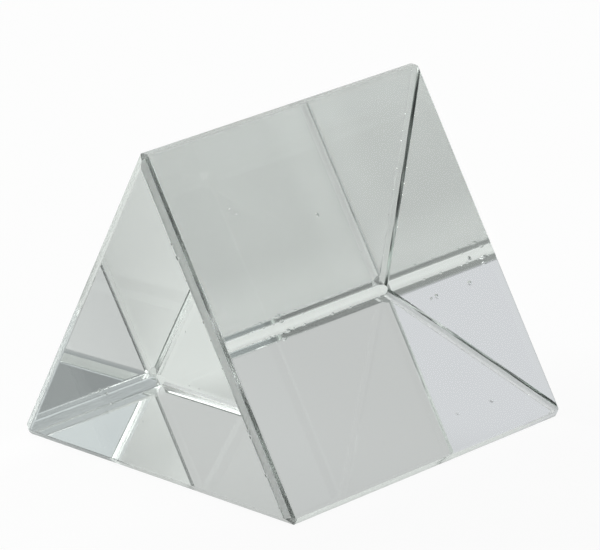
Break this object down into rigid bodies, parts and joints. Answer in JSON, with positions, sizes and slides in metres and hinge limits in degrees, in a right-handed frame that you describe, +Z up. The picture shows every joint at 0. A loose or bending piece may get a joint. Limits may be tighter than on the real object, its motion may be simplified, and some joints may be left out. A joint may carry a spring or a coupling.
{
  "type": "triangular glass prism",
  "caption": "Solid clear glass triangular prism with ground bevels on its edges, lying on a rectangular face; bends light and splits it into colours.",
  "frame": {"origin": "middle of the lower rectangular face, on the surface that the prism lies on", "axes": "+X along the prism from its left end to its right end, +Y across it towards the back, +Z up to the upper long edge"},
  "size_m": [0.05, 0.0486, 0.0427],
  "materials": {
    "clear_glass": "polished faces with finely ground bevels"
  },
  "bodies": {
    "root": {"glass_prism": "clear_glass"}
  },
  "joints": []
}
